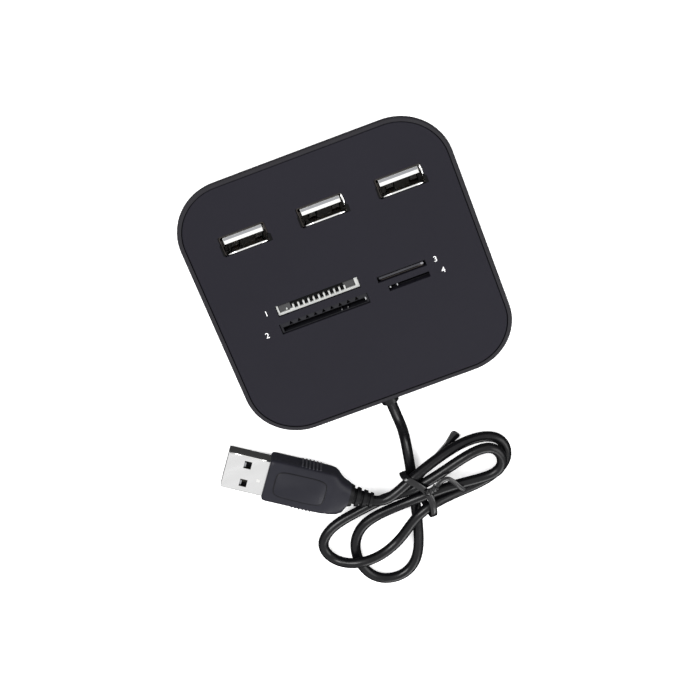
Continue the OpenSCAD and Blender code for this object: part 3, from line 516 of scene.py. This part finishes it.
# Each ring of its soft moulding: place, half size across, half size up and the power of its corners
RINGS = [
    (0, 2.0, 2.0, 2), (0.12, 2.3, 2.3, 2), (0.95, 2.4, 2.4, 2), (1.1, 2.0, 2.0, 2), (1.75, 2.05, 2.05, 2),
    (1.9, 2.6, 2.6, 2), (3.0, 2.7, 2.7, 2), (3.15, 2.15, 2.15, 2), (3.85, 2.2, 2.2, 2),
    (4.0, 2.85, 2.8, 2.1), (5.1, 3.0, 2.9, 2.1), (5.25, 2.35, 2.3, 2.1), (5.95, 2.4, 2.35, 2.1),
    (6.1, 3.2, 3.0, 2.2), (7.2, 3.5, 3.1, 2.4), (8.2, 4.0, 3.2, 2.7), (9.6, 4.5, 3.35, 3),
    (10.8, 5.3, 3.5, 3.6), (11.8, 6.2, 3.62, 4.6), (12.8, 6.7, 3.68, 6), (14, 6.85, 3.7, 7),
    (17, 6.9, 3.7, 8), (24, 6.9, 3.7, 8), (31, 6.9, 3.7, 8), (31.8, 6.85, 3.66, 8), (32.2, 6.6, 3.5, 8),
    (32.4, 6.2, 3.2, 8),
]
RELIEF_RINGS = 15
SPLIT_ANGLE = 40


def oval(w, t, power, count=48):
    """Points on a rounded rectangle of half sizes w and t."""
    out = []
    for k in range(count):
        c, d = math.cos(2 * math.pi * (k + 0.5) / count), math.sin(2 * math.pi * (k + 0.5) / count)
        out.append((math.copysign(abs(c) ** (2 / power), c) * w, math.copysign(abs(d) ** (2 / power), d) * t))
    return out


def ring_verts(bm, rings):
    """The new points of each ring, square to the plug's axis."""
    return [[bm.verts.new((x, a, b)) for a, b in oval(w, t, power)] for x, w, t, power in rings]


def half_width(x):
    """The moulding's half width at a place along the plug, between the rings above."""
    for (x0, w0, *_), (x1, w1, *_) in zip(RINGS, RINGS[1:]):
        if x0 <= x <= x1:
            return w0 + (w1 - w0) * (x - x0) / (x1 - x0)


def moulding(name, bm, look):
    """A piece of the plug's soft moulding, smooth apart from its sharp edges."""
    bm.transform(PLUG)
    obj = piece(name, bm, look)
    obj.modifiers.new("edge", "EDGE_SPLIT").split_angle = math.radians(SPLIT_ANGLE)
    return obj


bm = bmesh.new()
skin(bm, ring_verts(bm, RINGS[:RELIEF_RINGS]))
relief = moulding("plug_relief", bm, RELIEF)

# Grip: on its +Y side it stays wide for some millimetres more towards the cable, and both faces have a pad
NECK = (7.3, 12)
STAY = 3.2
PAD_X = 22.1
PAD_POWER = 5
PAD_RINGS = ((3.5, 7.5, 4.1), (3.78, 7.5, 4.1), (3.84, 7.42, 4.02))
bm = bmesh.new()
skin(bm, ring_verts(bm, RINGS[RELIEF_RINGS - 1:]))
for v in bm.verts:
    if v.co.y > 0 and NECK[0] < v.co.x < NECK[1]:
        v.co.y *= half_width(v.co.x + STAY) / half_width(v.co.x)
for side in (-1, 1):
    pad = bmesh.new()
    skin(pad, [[pad.verts.new((a, b, z * side)) for a, b in oval(w, t, PAD_POWER)] for z, w, t in PAD_RINGS])
    pad.transform(Matrix.Translation((PAD_X, 0, 0)))
    made = bpy.data.meshes.new("pad")
    pad.to_mesh(made)
    pad.free()
    bm.from_mesh(made)
    bpy.data.meshes.remove(made)
grip = moulding("plug_grip_body", bm, GRIP)
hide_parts("plug_grip")

# Ribs along both sides of the grip, highest in the middle; their lighter plastic is painted highlight where
# light catches them
RIB_COUNT = 6
RIB_START = 17.5
RIB_PITCH = 1.1
RIB_Y = 6.8
RIB_LONG = 0.45
RIB_WIDE = 0.7
RIB_HIGH = 6
RIB_DROP = 0.2
rib_boxes = []
for side in (-1, 1):
    for k in range(RIB_COUNT):
        high = RIB_HIGH - abs(k - (RIB_COUNT - 1) / 2) * RIB_DROP
        rib_boxes.append(around((RIB_START + RIB_PITCH * k, side * RIB_Y, 0), (RIB_LONG, RIB_WIDE, high)))
ribs = blocks("plug_ribs", rib_boxes, LIT_RIB, 0.1, PLUG)

# A thin dark bar around the upper pad: painted shade along the pad's edge
SHADE_LINE_R = 0.14
SHADE_LINE_Z = 3.68
SHADE_LINE_HALVES = (7.6, 4.2)
bm = bmesh.new()
course = [(PAD_X + a, b, SHADE_LINE_Z) for a, b in oval(*SHADE_LINE_HALVES, PAD_POWER)]
sweep(bm, course, circle(SHADE_LINE_R, count=8), closed=True)
bm.transform(PLUG)
pad_shade_line = piece("plug_pad_shade_line", bm, RELIEF)

# Plug shell: a dimple and a rolled edge painted bright as highlights, and what shows through its two windows
DIMPLE_CENTRE = (34.5, 1.2, 2.26)
DIMPLE_SIZES = (1.1, 0.9, 0.16)
EDGE_XS = (32.5, 36, 40, 44.6)
EDGE_Y = -5.74
EDGE_Z = 2.1
EDGE_R = 0.25
WINDOW_X = 39.85
WINDOW_YS = (-2.85, 3.15)
WINDOW_Z = 1.75
WINDOW_SIZES = (1.5, 1.4, 0.2)
mark = blocks("plug_dimple_glint", [around(DIMPLE_CENTRE, DIMPLE_SIZES)], HIGHLIGHT_STEEL, 0.06, PLUG)
bm = bmesh.new()
sweep(bm, [(x, EDGE_Y, EDGE_Z) for x in EDGE_XS], circle(EDGE_R))
bm.transform(PLUG)
edge = piece("plug_edge_highlight", bm, HIGHLIGHT_STEEL)
inner = blocks("plug_window_pads", [around((WINDOW_X, y, WINDOW_Z), WINDOW_SIZES) for y in WINDOW_YS],
               STEP, 0.05, PLUG)

# Floor: pale paper that glows a little, so that the shadows on it stay faint
FLOOR_HALF = 3
FLOOR_GLOW = 0.4
bm = bmesh.new()
bmesh.ops.create_grid(bm, x_segments=1, y_segments=1, size=FLOOR_HALF)
mesh = bpy.data.meshes.new("floor")
bm.to_mesh(mesh)
bm.free()
floor = bpy.data.objects.new("floor", mesh)
scene.collection.objects.link(floor)
paper = finish("floor_paper", (0.93, 0.93, 0.93, 1), 0.9, spread=0.01, bump=0.02, patch=4)
paper_shader = paper.node_tree.nodes["Principled BSDF"]
paper_shader.inputs["Emission Color"].default_value = (1, 1, 1, 1)
paper_shader.inputs["Emission Strength"].default_value = FLOOR_GLOW
mesh.materials.append(paper)
floor.visible_glossy = False

# Light: a sky that brightens from the horizon up, and three large soft lamps
SKY_RAMP = ((0, 0.05), (0.45, 1))
LAMPS = (
    ("key", (-0.5, 0.5, 0.8), (0, -0.02, 0), 0.5, 9),
    ("fill", (0.7, -0.3, 0.7), (0, -0.02, 0), 0.7, 5),
    ("back", (0.0, -0.9, 0.5), (0, -0.05, 0), 0.5, 4),
)
world = bpy.data.worlds.new("studio")
scene.world = world
world.use_nodes = True
sky, link = world.node_tree.nodes, world.node_tree.links.new
direction = sky.new("ShaderNodeTexCoord")
parts = sky.new("ShaderNodeSeparateXYZ")
tone = sky.new("ShaderNodeValToRGB")
link(direction.outputs["Generated"], parts.inputs["Vector"])
link(parts.outputs["Z"], tone.inputs["Fac"])
link(tone.outputs["Color"], sky["Background"].inputs["Color"])
for stop, (place, grey) in zip(tone.color_ramp.elements, SKY_RAMP):
    stop.position = place
    stop.color = (grey, grey, grey, 1)
sky["Background"].inputs["Strength"].default_value = 1.0
for name, place, aim, wide, power in LAMPS:
    lamp = bpy.data.objects.new(name, bpy.data.lights.new(name, "AREA"))
    scene.collection.objects.link(lamp)
    lamp.data.size = wide
    lamp.data.energy = power
    lamp.location = place
    lamp.rotation_euler = (Vector(aim) - Vector(place)).to_track_quat("-Z", "Y").to_euler()
scene.view_settings.view_transform = "Standard"
